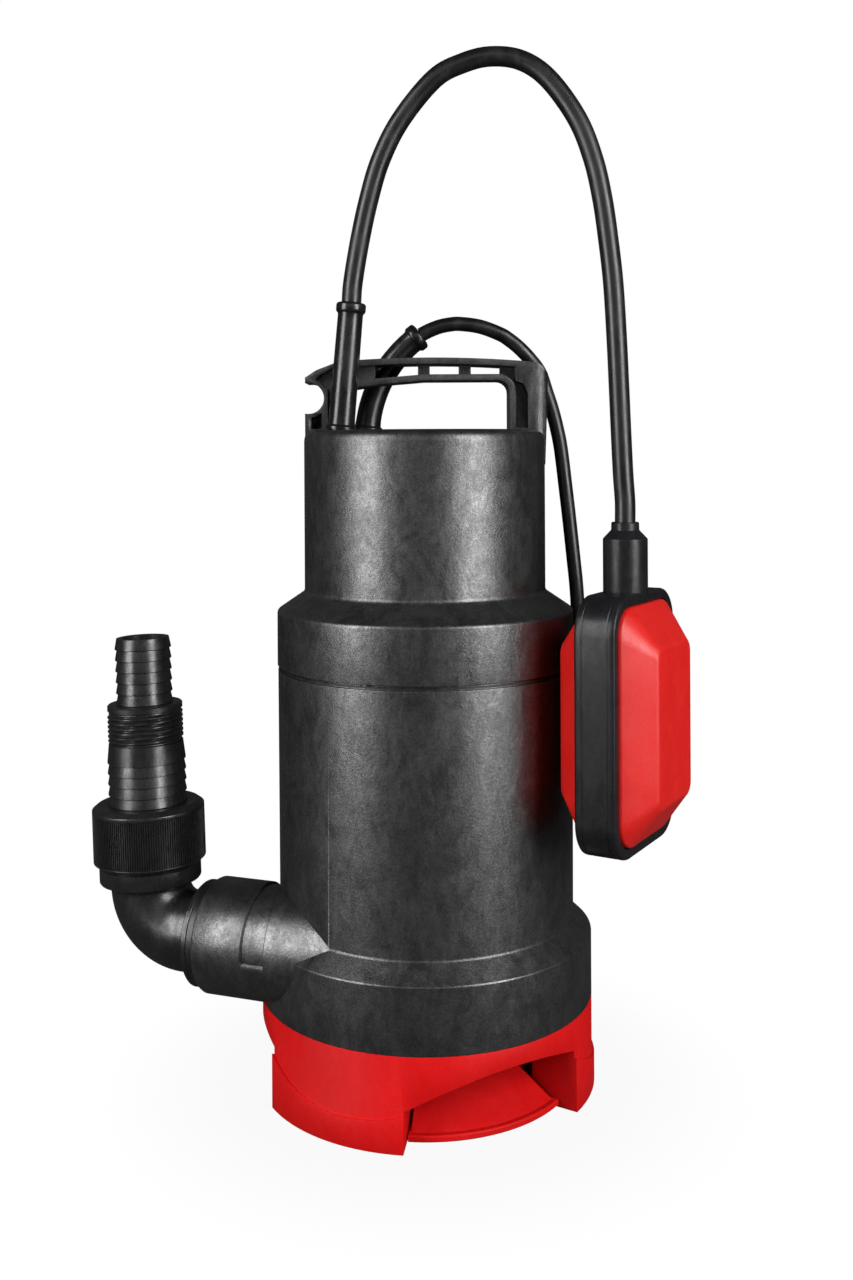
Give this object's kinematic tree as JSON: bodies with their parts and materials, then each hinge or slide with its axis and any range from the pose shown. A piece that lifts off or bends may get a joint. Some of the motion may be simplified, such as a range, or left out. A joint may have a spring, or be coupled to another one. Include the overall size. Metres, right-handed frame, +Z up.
{
  "type": "submersible sump pump",
  "caption": "Upright submersible sump pump with a red intake base, side outlet elbow with stepped hose connector, carrying handle and a float switch on a cable.",
  "frame": {"origin": "centre of the base's footprint, on the floor under the motor shaft", "axes": "+Z up along the motor shaft, -Y the front, +X to the right as seen from the front; the outlet points to -X, 20 degrees towards the back"},
  "size_m": [0.2866, 0.335, 0.4921],
  "materials": {
    "base_red": "bright red moulded plastic, satin",
    "housing_charcoal": "charcoal fibre-filled moulded plastic, satin, faintly mottled",
    "fitting_black": "black moulded plastic, semi-gloss",
    "float_red": "bright red moulded plastic, satin",
    "float_black": "black moulded plastic, satin",
    "sleeve_black": "black moulded rubber, satin",
    "cable_black": "black rubber cable sheath, matt",
    "seal_black": "black sealing rubber",
    "steel": "plain machined steel",
    "core_iron": "laminated electrical steel",
    "bracket_aluminium": "die-cast aluminium",
    "winding_copper": "enamelled copper wire, impregnated",
    "ceramic_white": "lapped white ceramic",
    "carbon_grey": "carbon graphite",
    "impeller_plastic": "black glass-filled plastic",
    "white_plastic": "white moulded plastic",
    "small_black_plastic": "black insulating plastic",
    "button_red": "red moulded plastic",
    "ball_chrome": "polished hardened steel",
    "pin_nickel": "nickel-plated brass"
  },
  "bodies": {
    "root": {"intake_base": "base_red", "floor_plate": "base_red", "plate_screws": "steel", "suction_cover": "housing_charcoal", "cover_seal": "seal_black", "pump_housing": "housing_charcoal", "housing_gasket": "seal_black", "motor_cap": "housing_charcoal", "carry_handle": "housing_charcoal", "tie_screws": "steel", "seal_seat": "ceramic_white", "oil_chamber_cover": "housing_charcoal", "lip_seal": "seal_black", "lower_bracket": "bracket_aluminium", "lower_bearing_outer": "steel", "motor_can": "steel", "stator_core": "core_iron", "stator_winding": "winding_copper", "upper_bracket": "bracket_aluminium", "upper_bearing_outer": "steel", "preload_washer": "steel", "motor_bolts": "steel", "capacitor": "white_plastic", "capacitor_clamp": "steel", "terminal_block": "white_plastic", "thermal_switch": "small_black_plastic", "inner_wires": "small_black_plastic", "float_cable_sleeve": "sleeve_black", "mains_cable_sleeve": "sleeve_black", "float_cable": "cable_black", "mains_cable": "cable_black", "mains_coil": "cable_black", "mains_cable_end": "cable_black", "plug_sleeve": "sleeve_black", "plug_body": "sleeve_black", "plug_pins": "pin_nickel"},
    "rotor": {"seal_face": "carbon_grey", "seal_spring": "steel", "seal_collar": "steel", "lower_bearing_inner": "steel", "lower_bearing_balls": "steel", "shaft_ring": "steel", "upper_bearing_inner": "steel", "upper_bearing_balls": "steel", "motor_shaft": "steel", "rotor_core": "core_iron", "rotor_end_rings": "bracket_aluminium", "impeller": "impeller_plastic", "impeller_fixings": "steel"},
    "elbow": {"outlet_elbow": "fitting_black", "outlet_ring": "seal_black", "connector_seal": "seal_black", "hose_connector": "fitting_black"},
    "nut": {"union_nut": "fitting_black"},
    "float": {"float_band": "float_black", "float_shells": "float_red", "switch_case": "white_plastic"},
    "lever": {"switch_lever": "steel"},
    "button": {"switch_button": "button_red"},
    "ball": {"switch_ball": "ball_chrome"}
  },
  "joints": [
    {"name": "rotor_spin", "type": "hinge", "parent": "root", "child": "rotor", "pos_m": [0, 0, 0.1], "axis": [0, 0, 1], "continuous": true},
    {"name": "elbow_turn", "type": "hinge", "parent": "root", "child": "elbow", "pos_m": [-0.10116, -0.00894, 0.0702], "axis": [-0.9397, 0.342, 0], "range_deg": [-90, 90]},
    {"name": "union_nut_turn", "type": "hinge", "parent": "elbow", "child": "nut", "pos_m": [-0.13673, 0.00401, 0.11642], "axis": [-0.0328, 0.0119, 0.9994], "continuous": true},
    {"name": "float_swing", "type": "hinge", "parent": "root", "child": "float", "pos_m": [0.09, -0.045, 0.31], "axis": [-0.5075, -0.8616, 0], "range_deg": [0, 95], "deforming": ["float_cable"]},
    {"name": "ball_slide", "type": "slide", "parent": "float", "child": "ball", "axis": [0, 0, 1], "range_m": [0, 0.035]},
    {"name": "lever_tilt", "type": "hinge", "parent": "float", "child": "lever", "pos_m": [0.08551, -0.05534, 0.187], "axis": [0.8616, -0.5075, 0], "range_deg": [0, 8], "stiffness_Nm_per_rad": 0.01},
    {"name": "button_press", "type": "slide", "parent": "float", "child": "button", "axis": [0, 0, 1], "range_m": [0, 0.0025]}
  ],
  "couplings": [
    {"joint": "button_press", "follows": "lever_tilt", "m_per_rad": 0.016}
  ]
}
